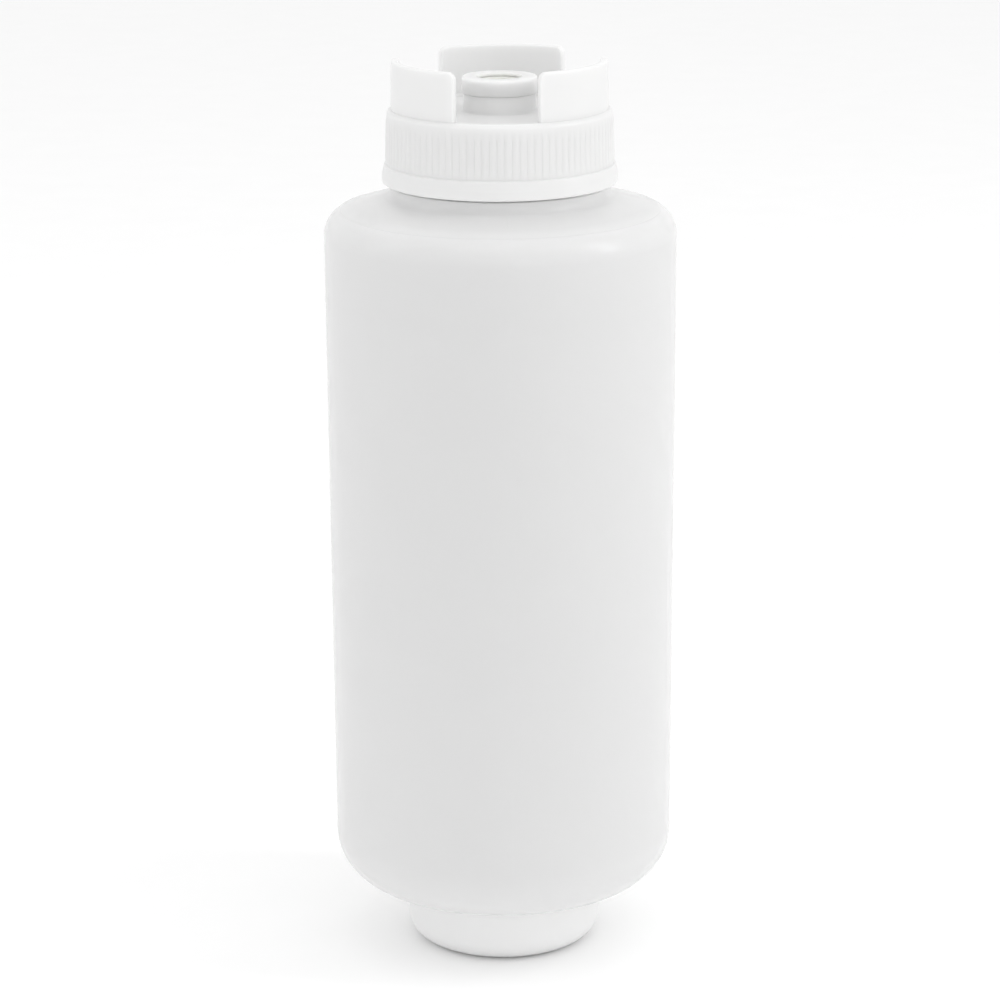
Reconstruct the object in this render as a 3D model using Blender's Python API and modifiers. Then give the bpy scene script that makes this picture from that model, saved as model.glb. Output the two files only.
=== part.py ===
"""Two-ended squeeze bottle: a valve cap with three legs on top and a plain refill cap at the bottom.

Sizes are in metres. The bottle's axis is Z and the refill cap stands on Z = 0. One of the three openings
between the dispensing cap's legs faces -Y. Both closures are right-hand screws: the dispensing cap comes
off upwards, the refill cap downwards.
"""

import math

import bmesh
import bpy

MM = 0.001
GAP = 0.3 * MM
SOFT = 0.3 * MM
WELD = 0.01 * MM
DOUBLES = 0.001 * MM

# Bottle: one blow moulding with a round body and a neck at each end.
WALL = 1.3 * MM
SIDE_TOP_RADIUS = 43.75 * MM
SIDE_LOW_RADIUS = 43.1 * MM
SHOULDER_Z = 185.0 * MM
SHOULDER_RADIUS = 6.8 * MM
SHOULDER_ARC_END = 66.0
SHOULDER_SLOPE = 16.0
HEEL_RADIUS = 12.8 * MM
HEEL_SLOPE = 16.5
FOOT_RADIUS = 25.6 * MM
FOOT_Z = 14.5 * MM
FOOT_LAND = 0.5 * MM
LOWER_NECK_FILLET = 0.6 * MM
SHOULDER_ARC_STEPS = 6
HEEL_ARC_STEPS = 7
FILLET_ARC_STEPS = 3
UPPER_NECK_RADIUS = 25.0 * MM
COLLAR_RADIUS = 27.4 * MM
COLLAR_Z = 197.5 * MM
COLLAR_FILLET = 2.0 * MM
UPPER_RIM_Z = 212.1 * MM
LOWER_NECK_RADIUS = 21.3 * MM
LOWER_RIM_Z = 4.4 * MM
BOTTLE_SEGMENTS = 48

# Screw threads: lead, turns on the neck and in the cap, and the ridge's half widths.
UPPER_LEAD = 25.4 / 6 * MM
LOWER_LEAD = 25.4 / 8 * MM
NECK_THREAD_TURNS = 1.5
CAP_THREAD_TURNS = 1.25
UPPER_THREAD_HEIGHT = 1.35 * MM
LOWER_THREAD_HEIGHT = 1.1 * MM
UPPER_THREAD_Z = 202.4 * MM
LOWER_THREAD_Z = 6.6 * MM
THREAD_ROOT_SHARE = 0.24
THREAD_CREST_SHARE = 0.12
THREAD_RUN_OUT = 0.08
THREAD_STEPS = 30
THREAD_BURIED = 0.6 * MM

# Dispensing cap: ribbed skirt, deck, three legs and a hollow boss.
CAP_LOW_Z = 197.9 * MM
CAP_DECK_Z = 215.6 * MM
CAP_CEILING_Z = 213.8 * MM
CAP_RIM_Z = 216.3 * MM
CAP_BORE = 26.75 * MM
CAP_WALL_RADIUS = 27.85 * MM
CAP_BEAD_RADIUS = 29.2 * MM
CAP_SEGMENTS = 48
CAP_EDGE = 0.8 * MM
BOSS_FILLET = 0.5 * MM
RIM_SLOPE = 0.7 * MM
RIM_DROP = 0.4 * MM
RIM_ROUND = 1.4 * MM
BEAD_HEIGHT = 1.8 * MM
BEAD_LOW = 0.9 * MM
BEAD_BEND_Z = 201.5 * MM
BEAD_TOP_Z = 202.7 * MM
BEAD_STEP = 0.2 * MM
BORE_LEAD_IN = 0.5 * MM
RIB_COUNT = 96
RIB_TIP_RADIUS = 28.4 * MM
RIB_FOOT_RADIUS = 28.05 * MM
RIB_INNER_RADIUS = 27.3 * MM
RIB_LOW_Z = 203.1 * MM
RIB_TOP_Z = 213.6 * MM
LEG_TOP_Z = 228.3 * MM
LEG_OUTER_RADIUS = 26.85 * MM
LEG_INNER_RADIUS = 25.0 * MM
LEG_LEAN = 0.2 * MM
LEG_INSET = 0.1 * MM
LEG_ROOT = 0.5 * MM
LEG_EDGE = 0.3 * MM
LEG_COUNT = 3
LEG_GAP_HALF_ANGLE = 23.0
LEG_CORNER = 2.0 * MM
LEG_CORNER_STEPS = 4
LEG_CUT_MARGIN = 3.0 * MM
LEG_CUT_BELOW = 1.0 * MM
LEG_CUT_ABOVE = 2.0 * MM
BOSS_RADIUS = 8.9 * MM
BOSS_TOP_Z = 219.8 * MM
SPIGOT_RADIUS = 7.9 * MM
SPIGOT_TOP_Z = 222.0 * MM
BOSS_BORE = 5.2 * MM

# Valve and the ring that holds its flange on the boss.
VALVE_FLANGE_RADIUS = 7.6 * MM
VALVE_FLANGE = 0.8 * MM
VALVE_SLEEVE_RADIUS = 4.7 * MM
VALVE_CUP_RADIUS = 3.9 * MM
VALVE_DROP = 4.3 * MM
VALVE_DISH = [(0.0, 0.8), (2.0, 1.0), (3.4, 1.7), (3.9, 2.4)]
VALVE_UNDERSIDE = [(4.7, 1.8), (4.0, 0.8), (2.2, 0.2), (0.0, 0.0)]
SLIT_LENGTH = 5.4 * MM
SLIT_WIDTH = 0.35 * MM
SLIT_HEIGHT = 4.0 * MM
SLIT_MIDDLE = 1.0 * MM
RING_RADIUS = 9.35 * MM
RING_TOP_Z = 224.1 * MM
RING_MOUTH = 5.4 * MM
RING_EDGE = 0.4 * MM
RING_SEGMENTS = 40

# Seals.
GASKET_INNER_RADIUS = 22.6 * MM
GASKET_OUTER_RADIUS = 26.4 * MM
LINER_RADIUS = 21.3 * MM

# Refill cap: a smooth cup with a rounded lower edge.
REFILL_TOP_Z = 14.0 * MM
REFILL_TOP_RADIUS = 24.8 * MM
REFILL_RADIUS = 24.6 * MM
REFILL_CORNER = 5.5 * MM
REFILL_BORE = 22.8 * MM
REFILL_FLOOR_Z = 1.6 * MM
REFILL_SEAT_Z = 2.6 * MM
REFILL_SEAT_RADIUS = 16.0 * MM
REFILL_SEAT_INSET = 1.2 * MM
REFILL_SEAT_RISE = 2.0 * MM
REFILL_EDGE = 0.4 * MM
REFILL_LEAD_IN = 0.5 * MM
REFILL_ARC_STEPS = 7
REFILL_SEGMENTS = 48


# ---------------------------------------------------------------- scene and helpers

def empty_scene():
    """Remove what the new file holds, and make one collection for the parts and one for the cutters."""
    for thing in list(bpy.data.objects):
        bpy.data.objects.remove(thing)
    parts = bpy.data.collections.new("two_ended_squeeze_bottle")
    cutters = bpy.data.collections.new("cutters")
    bpy.context.scene.collection.children.link(parts)
    bpy.context.scene.collection.children.link(cutters)
    return parts, cutters


def plastic(name, colour, roughness, transmission=0.0):
    """A moulded plastic or rubber as a Principled material."""
    material = bpy.data.materials.new(name)
    material.use_nodes = True
    shader = material.node_tree.nodes["Principled BSDF"]
    shader.inputs["Base Color"].default_value = (*colour, 1.0)
    shader.inputs["Roughness"].default_value = roughness
    shader.inputs["Metallic"].default_value = 0.0
    shader.inputs["Transmission Weight"].default_value = transmission
    material.diffuse_color = (*colour, 1.0)
    return material


def add_mesh(name, verts, edges, faces, collection):
    """An object in the collection, made from the given geometry."""
    mesh = bpy.data.meshes.new(name)
    mesh.from_pydata(verts, edges, faces)
    thing = bpy.data.objects.new(name, mesh)
    collection.objects.link(thing)
    return thing


def hide_cutter(thing):
    """Mark a helper that only cuts or joins."""
    thing.hide_render = True
    thing.display_type = "WIRE"


def turned(name, profile, collection, segments, closed=True):
    """Turn a profile of (radius, height) points round Z. It runs down the outer side."""
    verts = [(radius, 0.0, height) for radius, height in profile]
    edges = [(i, i + 1) for i in range(len(profile) - 1)]
    if closed:
        edges.append((len(profile) - 1, 0))
    thing = add_mesh(name, verts, edges, [], collection)
    screw = thing.modifiers.new("turn", "SCREW")
    screw.axis = "Z"
    screw.angle = 2 * math.pi
    screw.steps = segments
    screw.render_steps = segments
    screw.use_merge_vertices = True
    screw.merge_threshold = WELD
    screw.use_smooth_shade = True
    return thing


def combine(thing, other, operation):
    """Cut the other body out of a part, or join it on."""
    boolean = thing.modifiers.new(other.name, "BOOLEAN")
    boolean.operation = operation
    boolean.object = other
    boolean.solver = "EXACT"


def arc(centre_radius, centre_z, radius, start, end, steps):
    """Points on an arc in the profile plane, angles in degrees from the outward direction."""
    angles = [math.radians(start + (end - start) * i / steps) for i in range(steps + 1)]
    return [(centre_radius + radius * math.cos(a), centre_z + radius * math.sin(a)) for a in angles]


def thread_ridge(name, collection, wall_radius, height, lead, turns, start_z, side):
    """A right-hand helical ridge: side +1 stands out of a neck, -1 stands into a cap.

    Its section is a trapezium whose root lies buried in the wall, and it sinks into the wall at both ends.
    """
    steps = round(turns * THREAD_STEPS)
    root_half = THREAD_ROOT_SHARE * lead
    crest_half = THREAD_CREST_SHARE * lead
    root_radius = wall_radius - side * THREAD_BURIED
    verts = []
    for i in range(steps + 1):
        along = i / steps
        rise = min(1.0, along / THREAD_RUN_OUT, (1.0 - along) / THREAD_RUN_OUT)
        crest_radius = wall_radius + side * (height * rise - THREAD_BURIED * 0.5 * (1.0 - rise))
        angle = 2 * math.pi * turns * along
        middle = start_z + lead * turns * along
        section = [
            (root_radius, -root_half),
            (crest_radius, -crest_half),
            (crest_radius, crest_half),
            (root_radius, root_half),
        ]
        for radius, offset in section:
            verts.append((radius * math.cos(angle), radius * math.sin(angle), middle + offset))
    faces = []
    for i in range(steps):
        for j in range(4):
            a = 4 * i + j
            b = 4 * i + (j + 1) % 4
            faces.append((a, b, b + 4, a + 4))
    faces.append((3, 2, 1, 0))
    last = 4 * steps
    faces.append((last, last + 1, last + 2, last + 3))
    ridge = add_mesh(name, verts, [], faces, collection)
    fix_normals(ridge)
    hide_cutter(ridge)
    return ridge


def fix_normals(thing):
    """Point a closed mesh's faces outwards."""
    work = bmesh.new()
    work.from_mesh(thing.data)
    bmesh.ops.remove_doubles(work, verts=work.verts, dist=DOUBLES)
    bmesh.ops.recalc_face_normals(work, faces=work.faces)
    work.to_mesh(thing.data)
    work.free()


def extruded(name, outlines, depth, collection):
    """A flat outline, with any holes in it, made into a solid from z = 0 up to the given depth."""
    curve = bpy.data.curves.new(name, "CURVE")
    curve.dimensions = "2D"
    curve.fill_mode = "BOTH"
    curve.extrude = depth / 2
    for outline in outlines:
        spline = curve.splines.new("POLY")
        spline.points.add(len(outline) - 1)
        for point, (x, y) in zip(spline.points, outline):
            point.co = (x, y, 0.0, 1.0)
        spline.use_cyclic_u = True
    source = bpy.data.objects.new(name, curve)
    collection.objects.link(source)
    evaluated = source.evaluated_get(bpy.context.evaluated_depsgraph_get())
    mesh = bpy.data.meshes.new_from_object(evaluated)
    bpy.data.objects.remove(source)
    solid = bpy.data.objects.new(name, mesh)
    collection.objects.link(solid)
    for vert in mesh.vertices:
        vert.co.z += depth / 2
    fix_normals(solid)
    hide_cutter(solid)
    return solid


# ---------------------------------------------------------------- the bottle

def bottle_profile():
    """The bottle's outer surface: neck, collar, shoulder, side, heel, foot and lower neck, downwards."""
    slope = math.radians(SHOULDER_SLOPE)
    shoulder = arc(
        SIDE_TOP_RADIUS - SHOULDER_RADIUS, SHOULDER_Z, SHOULDER_RADIUS, SHOULDER_ARC_END, 0.0,
        SHOULDER_ARC_STEPS,
    )
    crease_radius, crease_z = shoulder[0]
    fillet_radius = COLLAR_RADIUS + COLLAR_FILLET
    fillet_end = fillet_radius - COLLAR_FILLET * math.sin(slope)
    fillet_z = crease_z + (crease_radius - fillet_end) * math.tan(slope)
    fillet_z += COLLAR_FILLET * math.cos(slope)
    fillet = arc(
        fillet_radius, fillet_z, COLLAR_FILLET, 180.0, 270.0 - SHOULDER_SLOPE, FILLET_ARC_STEPS
    )

    rise = math.radians(HEEL_SLOPE)
    heel_centre = SIDE_LOW_RADIUS - HEEL_RADIUS
    heel_z = FOOT_Z + (heel_centre - FOOT_RADIUS) * math.tan(rise) + HEEL_RADIUS / math.cos(rise)
    heel = arc(heel_centre, heel_z, HEEL_RADIUS, 0.0, HEEL_SLOPE - 90.0, HEEL_ARC_STEPS)

    profile = [(UPPER_NECK_RADIUS, UPPER_RIM_Z), (UPPER_NECK_RADIUS, COLLAR_Z)]
    profile += [(COLLAR_RADIUS - SOFT, COLLAR_Z), (COLLAR_RADIUS, COLLAR_Z - SOFT)]
    profile += fillet
    profile += shoulder
    profile += heel
    profile += [(FOOT_RADIUS, FOOT_Z + 0.1 * MM), (FOOT_RADIUS - FOOT_LAND, FOOT_Z)]
    profile += [(LOWER_NECK_RADIUS + LOWER_NECK_FILLET, FOOT_Z)]
    profile += [(LOWER_NECK_RADIUS, FOOT_Z - LOWER_NECK_FILLET)]
    profile += [(LOWER_NECK_RADIUS, LOWER_RIM_Z)]
    return profile


def make_bottle(parts, cutters):
    """Blow-moulded shell with two necks and their screw threads."""
    bottle = turned("bottle", bottle_profile(), parts, BOTTLE_SEGMENTS, closed=False)
    shell = bottle.modifiers.new("wall", "SOLIDIFY")
    shell.thickness = WALL
    shell.offset = -1.0
    shell.use_even_offset = True
    upper = thread_ridge(
        "upper_neck_thread", cutters, UPPER_NECK_RADIUS, UPPER_THREAD_HEIGHT, UPPER_LEAD,
        NECK_THREAD_TURNS, UPPER_THREAD_Z, 1,
    )
    lower = thread_ridge(
        "lower_neck_thread", cutters, LOWER_NECK_RADIUS, LOWER_THREAD_HEIGHT, LOWER_LEAD,
        NECK_THREAD_TURNS, LOWER_THREAD_Z, 1,
    )
    combine(bottle, upper, "UNION")
    combine(bottle, lower, "UNION")
    bottle.data.materials.append(plastic("natural_polyethylene", (0.88, 0.89, 0.88), 0.35, 0.4))
    return bottle


# ---------------------------------------------------------------- the dispensing cap

def cap_profile():
    """Section of the dispensing cap without its ribs, legs and thread."""
    return [
        (BOSS_BORE, SPIGOT_TOP_Z),
        (SPIGOT_RADIUS - SOFT, SPIGOT_TOP_Z),
        (SPIGOT_RADIUS, SPIGOT_TOP_Z - SOFT),
        (SPIGOT_RADIUS, BOSS_TOP_Z),
        (BOSS_RADIUS, BOSS_TOP_Z),
        (BOSS_RADIUS, CAP_DECK_Z + BOSS_FILLET),
        (BOSS_RADIUS + BOSS_FILLET, CAP_DECK_Z),
        (LEG_INNER_RADIUS - RIM_SLOPE, CAP_DECK_Z),
        (LEG_INNER_RADIUS, CAP_RIM_Z),
        (LEG_OUTER_RADIUS + LEG_INSET, CAP_RIM_Z),
        (CAP_WALL_RADIUS - SOFT, CAP_RIM_Z - RIM_DROP),
        (CAP_WALL_RADIUS, CAP_RIM_Z - RIM_ROUND),
        (CAP_WALL_RADIUS, BEAD_TOP_Z + BEAD_STEP),
        (CAP_BEAD_RADIUS - CAP_EDGE, BEAD_TOP_Z),
        (CAP_BEAD_RADIUS - SOFT, BEAD_BEND_Z),
        (CAP_BEAD_RADIUS, CAP_LOW_Z + BEAD_HEIGHT),
        (CAP_BEAD_RADIUS, CAP_LOW_Z + BEAD_LOW),
        (CAP_BEAD_RADIUS - SOFT, CAP_LOW_Z + SOFT),
        (CAP_BEAD_RADIUS - CAP_EDGE, CAP_LOW_Z),
        (CAP_BORE + BORE_LEAD_IN, CAP_LOW_Z),
        (CAP_BORE, CAP_LOW_Z + CAP_EDGE),
        (CAP_BORE, CAP_CEILING_Z),
        (BOSS_BORE, CAP_CEILING_Z),
    ]


def grip_ribs(cutters):
    """The ring of fine upright ribs round the skirt, as one star-shaped band."""
    star = []
    for i in range(2 * RIB_COUNT):
        radius = RIB_FOOT_RADIUS if i % 2 else RIB_TIP_RADIUS
        angle = math.pi * i / RIB_COUNT
        star.append((radius * math.cos(angle), radius * math.sin(angle)))
    hole = []
    for i in range(CAP_SEGMENTS):
        angle = 2 * math.pi * i / CAP_SEGMENTS
        hole.append((RIB_INNER_RADIUS * math.cos(angle), RIB_INNER_RADIUS * math.sin(angle)))
    ribs = extruded("grip_ribs", [star, hole], RIB_TOP_Z - RIB_LOW_Z, cutters)
    ribs.location.z = RIB_LOW_Z
    return ribs


def leg_gap_cutter(name, turn, cutters):
    """What is cut out between two legs: a wedge whose sides are radial and whose mouth flares."""
    half = LEG_OUTER_RADIUS * math.sin(math.radians(LEG_GAP_HALF_ANGLE))
    high = LEG_TOP_Z - CAP_RIM_Z
    flare = []
    for i in range(LEG_CORNER_STEPS + 1):
        angle = math.pi / 2 * i / LEG_CORNER_STEPS
        across = half + LEG_CORNER - LEG_CORNER * math.cos(angle)
        flare.append((across, high - LEG_CORNER + LEG_CORNER * math.sin(angle)))
    right = [(half, -LEG_CUT_BELOW)] + flare + [(half + LEG_CORNER, high + LEG_CUT_ABOVE)]
    left = [(-x, y) for x, y in reversed(right)]
    near = LEG_INNER_RADIUS - LEG_CUT_MARGIN
    far = LEG_OUTER_RADIUS + LEG_CUT_MARGIN
    wedge = extruded(name, [right + left], far - near, cutters)
    for vert in wedge.data.vertices:
        across, up, out = vert.co.x, vert.co.y, vert.co.z + near
        vert.co = (across * out / LEG_OUTER_RADIUS, -out, up + CAP_RIM_Z)
    fix_normals(wedge)
    wedge.rotation_euler.z = turn
    return wedge


def legs_ring(cutters):
    """A short tube on the cap's rim, cut at three places so that three curved legs stay."""
    profile = [
        (LEG_OUTER_RADIUS - LEG_LEAN - LEG_EDGE, LEG_TOP_Z),
        (LEG_OUTER_RADIUS - LEG_LEAN, LEG_TOP_Z - LEG_EDGE),
        (LEG_OUTER_RADIUS, CAP_RIM_Z - LEG_ROOT),
        (LEG_INNER_RADIUS + LEG_INSET, CAP_RIM_Z - LEG_ROOT),
        (LEG_INNER_RADIUS + LEG_INSET - LEG_LEAN, LEG_TOP_Z - LEG_EDGE),
        (LEG_INNER_RADIUS + LEG_INSET - LEG_LEAN + LEG_EDGE, LEG_TOP_Z),
    ]
    ring = turned("cap_legs", profile, cutters, CAP_SEGMENTS)
    for i in range(LEG_COUNT):
        wedge = leg_gap_cutter(f"leg_gap_{i + 1}", 2 * math.pi * i / LEG_COUNT, cutters)
        combine(ring, wedge, "DIFFERENCE")
    hide_cutter(ring)
    return ring


def make_dispensing_cap(parts, cutters):
    """Ribbed screw cap with three legs and a hollow boss for the valve."""
    cap = turned("dispensing_cap", cap_profile(), parts, CAP_SEGMENTS)
    combine(cap, legs_ring(cutters), "UNION")
    weld = cap.modifiers.new("weld", "WELD")
    weld.merge_threshold = WELD
    combine(cap, grip_ribs(cutters), "UNION")
    thread = thread_ridge(
        "dispensing_cap_thread", cutters, CAP_BORE, UPPER_THREAD_HEIGHT, UPPER_LEAD,
        CAP_THREAD_TURNS, UPPER_THREAD_Z - UPPER_LEAD / 2, -1,
    )
    combine(cap, thread, "UNION")
    cap.data.materials.append(plastic("white_polypropylene", (0.9, 0.9, 0.89), 0.38))
    return cap


# ---------------------------------------------------------------- valve, ring and seals

def make_valve(parts, cutters):
    """Silicone disc: a flange on the boss, a short sleeve and a dished centre with a crossed slit."""
    flange_low = SPIGOT_TOP_Z + GAP
    flange_top = flange_low + VALVE_FLANGE
    low = flange_top - VALVE_DROP
    profile = [(radius * MM, low + rise * MM) for radius, rise in VALVE_DISH]
    profile += [
        (VALVE_CUP_RADIUS, flange_top - SOFT),
        (VALVE_CUP_RADIUS + SOFT, flange_top),
        (VALVE_FLANGE_RADIUS, flange_top),
        (VALVE_FLANGE_RADIUS, flange_low),
        (VALVE_SLEEVE_RADIUS, flange_low),
    ]
    profile += [(radius * MM, low + rise * MM) for radius, rise in VALVE_UNDERSIDE]
    valve = turned("valve", profile, parts, RING_SEGMENTS, closed=False)
    for name, turn in (("valve_slit_1", 0.0), ("valve_slit_2", math.pi / 2)):
        slit = slit_cutter(name, low, turn, cutters)
        combine(valve, slit, "DIFFERENCE")
    valve.data.materials.append(plastic("clear_silicone", (0.85, 0.87, 0.82), 0.3, 0.5))
    return valve


def slit_cutter(name, valve_low, turn, cutters):
    """A thin upright box that cuts one of the valve's two crossed slits."""
    bpy.ops.mesh.primitive_cube_add(size=1.0, location=(0.0, 0.0, valve_low + SLIT_MIDDLE))
    slit = bpy.context.active_object
    slit.name = name
    for owner in list(slit.users_collection):
        owner.objects.unlink(slit)
    cutters.objects.link(slit)
    slit.scale = (SLIT_LENGTH, SLIT_WIDTH, SLIT_HEIGHT)
    slit.rotation_euler.z = turn
    hide_cutter(slit)
    return slit


def make_retaining_ring(parts):
    """Collar that snaps over the boss's spigot and holds the valve's flange down."""
    low = BOSS_TOP_Z + GAP
    ceiling = SPIGOT_TOP_Z + VALVE_FLANGE + 2 * GAP
    profile = [
        (RING_MOUTH + RING_EDGE, RING_TOP_Z),
        (RING_RADIUS - RING_EDGE, RING_TOP_Z),
        (RING_RADIUS, RING_TOP_Z - RING_EDGE),
        (RING_RADIUS, low + SOFT),
        (RING_RADIUS - SOFT, low),
        (SPIGOT_RADIUS + GAP, low),
        (SPIGOT_RADIUS + GAP, ceiling),
        (RING_MOUTH, ceiling),
        (RING_MOUTH, RING_TOP_Z - RING_EDGE),
    ]
    ring = turned("valve_retaining_ring", profile, parts, RING_SEGMENTS)
    ring.data.materials.append(plastic("ring_polypropylene", (0.9, 0.9, 0.88), 0.35))
    return ring


def make_gasket(parts):
    """Flat ring seal between the upper rim and the dispensing cap."""
    low = UPPER_RIM_Z + GAP
    top = CAP_CEILING_Z - GAP
    profile = [
        (GASKET_INNER_RADIUS, top),
        (GASKET_OUTER_RADIUS, top),
        (GASKET_OUTER_RADIUS, low),
        (GASKET_INNER_RADIUS, low),
    ]
    gasket = turned("dispensing_cap_gasket", profile, parts, CAP_SEGMENTS)
    gasket.data.materials.append(plastic("gasket_rubber", (0.86, 0.86, 0.84), 0.6))
    return gasket


def make_liner(parts):
    """Disc seal between the lower rim and the refill cap."""
    top = LOWER_RIM_Z - GAP
    low = REFILL_SEAT_Z + GAP
    profile = [(0.0, top), (LINER_RADIUS, top), (LINER_RADIUS, low), (0.0, low)]
    liner = turned("refill_cap_liner", profile, parts, REFILL_SEGMENTS, closed=False)
    liner.data.materials.append(plastic("liner_foam", (0.88, 0.88, 0.86), 0.7))
    return liner


# ---------------------------------------------------------------- the refill cap

def refill_profile():
    """The refill cap's section, from the middle of its floor, up inside, over the edge and down outside."""
    profile = [
        (0.0, REFILL_FLOOR_Z),
        (REFILL_SEAT_RADIUS, REFILL_FLOOR_Z),
        (REFILL_SEAT_RADIUS, REFILL_SEAT_Z),
        (REFILL_BORE - REFILL_SEAT_INSET, REFILL_SEAT_Z),
        (REFILL_BORE, REFILL_SEAT_Z + REFILL_SEAT_RISE),
        (REFILL_BORE, REFILL_TOP_Z - REFILL_LEAD_IN),
        (REFILL_BORE + REFILL_EDGE, REFILL_TOP_Z),
        (REFILL_TOP_RADIUS - REFILL_EDGE, REFILL_TOP_Z),
        (REFILL_TOP_RADIUS, REFILL_TOP_Z - REFILL_EDGE),
    ]
    profile += arc(
        REFILL_RADIUS - REFILL_CORNER, REFILL_CORNER, REFILL_CORNER, 0.0, -90.0, REFILL_ARC_STEPS
    )
    profile += [(0.0, 0.0)]
    return profile


def make_refill_cap(parts, cutters):
    """Smooth rounded screw cap that closes the lower neck and carries the standing bottle."""
    cap = turned("refill_cap", refill_profile(), parts, REFILL_SEGMENTS, closed=False)
    thread = thread_ridge(
        "refill_cap_thread", cutters, REFILL_BORE, LOWER_THREAD_HEIGHT, LOWER_LEAD,
        CAP_THREAD_TURNS, LOWER_THREAD_Z + LOWER_LEAD / 2, -1,
    )
    combine(cap, thread, "UNION")
    cap.data.materials.append(plastic("refill_polypropylene", (0.89, 0.89, 0.88), 0.38))
    return cap


def main():
    parts, cutters = empty_scene()
    make_bottle(parts, cutters)
    make_dispensing_cap(parts, cutters)
    make_gasket(parts)
    make_valve(parts, cutters)
    make_retaining_ring(parts)
    make_refill_cap(parts, cutters)
    make_liner(parts)


main()
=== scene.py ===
"""The visible pieces of the two-ended squeeze bottle, made to fit the frame's boxes.

Every piece is one closed surface worked out on a grid: a profile in (radius, height) that runs down
the outer side, carried round the bottle's axis. Screw threads, grip ribs, legs and the moulding seam are
changes of radius or height over that grid. Sizes are in metres, in the frame's own axes.
"""
import math

import bpy
import numpy as np
from mathutils import Euler, Matrix, Vector


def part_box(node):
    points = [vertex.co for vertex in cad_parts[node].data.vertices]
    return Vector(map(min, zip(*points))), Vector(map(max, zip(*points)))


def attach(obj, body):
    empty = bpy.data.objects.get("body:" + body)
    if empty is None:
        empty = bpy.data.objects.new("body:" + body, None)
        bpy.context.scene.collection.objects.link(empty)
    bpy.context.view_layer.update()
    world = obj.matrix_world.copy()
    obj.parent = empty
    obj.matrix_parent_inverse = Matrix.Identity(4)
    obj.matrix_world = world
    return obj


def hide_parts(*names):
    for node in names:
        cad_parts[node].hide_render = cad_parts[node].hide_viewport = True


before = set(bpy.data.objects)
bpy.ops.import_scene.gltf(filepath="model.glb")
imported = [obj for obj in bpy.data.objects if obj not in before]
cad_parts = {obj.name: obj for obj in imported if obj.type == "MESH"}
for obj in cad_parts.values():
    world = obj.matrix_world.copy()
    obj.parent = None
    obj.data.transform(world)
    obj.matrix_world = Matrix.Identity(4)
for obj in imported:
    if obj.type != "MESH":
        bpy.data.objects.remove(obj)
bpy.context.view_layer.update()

MM = 0.001
TURN = 2 * math.pi

# Heights and radii read from the frame.
BOTTLE_LOW, BOTTLE_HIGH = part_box("bottle")
CAP_LOW, CAP_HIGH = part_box("dispensing_cap")
RING_LOW, RING_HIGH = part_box("valve_retaining_ring")
VALVE_LOW, VALVE_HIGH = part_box("valve")
GASKET_LOW, GASKET_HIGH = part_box("dispensing_cap_gasket")
REFILL_LOW, REFILL_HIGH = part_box("refill_cap")
LINER_LOW, LINER_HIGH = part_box("refill_cap_liner")

# Bottle. The crease is a fine step where the sloping shoulder meets its rounded edge.
WALL = 1.3 * MM
SIDE_TOP = BOTTLE_HIGH[0]
SIDE_LOW = SIDE_TOP - 0.65 * MM
NECK = 25.0 * MM
COLLAR = 27.4 * MM
COLLAR_Z = BOTTLE_HIGH[2] - 14.6 * MM
LOWER_NECK = 21.3 * MM
SHOULDER_ROUND = 6.8 * MM
SHOULDER_ROUND_Z = BOTTLE_HIGH[2] - 27.1 * MM
SHOULDER_SLOPE = math.tan(math.radians(16.0))
SHOULDER_CORNER_Z = BOTTLE_HIGH[2] - 22.05 * MM
SHOULDER_STEP = 8
CREASE_ANGLE = 66
CREASE_WIDTH = 0.22 * MM
CREASE_DEPTH = 0.1 * MM
HEEL_ROUND = 12.8 * MM
HEEL_SLOPE = math.tan(math.radians(16.5))
FOOT = 25.6 * MM
FOOT_Z = BOTTLE_LOW[2] + 10.1 * MM
BOTTLE_COLUMNS = 288
NECK_ROW = 0.3 * MM
BODY_ROW = 4.0 * MM

# Moulding seam: two ridges half a turn apart, taller near the shoulder. The offsets are the mesh's columns
# on each side of a ridge, in millimetres.
SEAM_ANGLE = math.radians(-85.0)
SEAM_WIDTH = 0.28 * MM
SEAM_HEIGHT = 0.05 * MM
SEAM_LEAST = 0.25
SEAM_FADE_Z = 175.0 * MM
SEAM_FADE = 8.0 * MM
SEAM_TOP_Z = BOTTLE_HIGH[2] - 17.5 * MM
SEAM_LOW_Z = FOOT_Z + 0.5 * MM
SEAM_OFFSETS = (0.15, 0.3, 0.5, 0.8, 1.2)

# Screw threads: the ridge's middle line rises one lead a turn.
UPPER_LEAD = 25.4 / 6 * MM
LOWER_LEAD = 25.4 / 8 * MM
NECK_TURNS = 1.5
CAP_TURNS = 1.25
UPPER_THREAD_Z = BOTTLE_HIGH[2] - 9.7 * MM
LOWER_THREAD_Z = BOTTLE_LOW[2] + 2.2 * MM
UPPER_THREAD_HEIGHT = 1.3 * MM
LOWER_THREAD_HEIGHT = 1.05 * MM
THREAD_ROOT = 0.19
THREAD_CREST = 0.1
THREAD_FADE = 0.1

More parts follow.
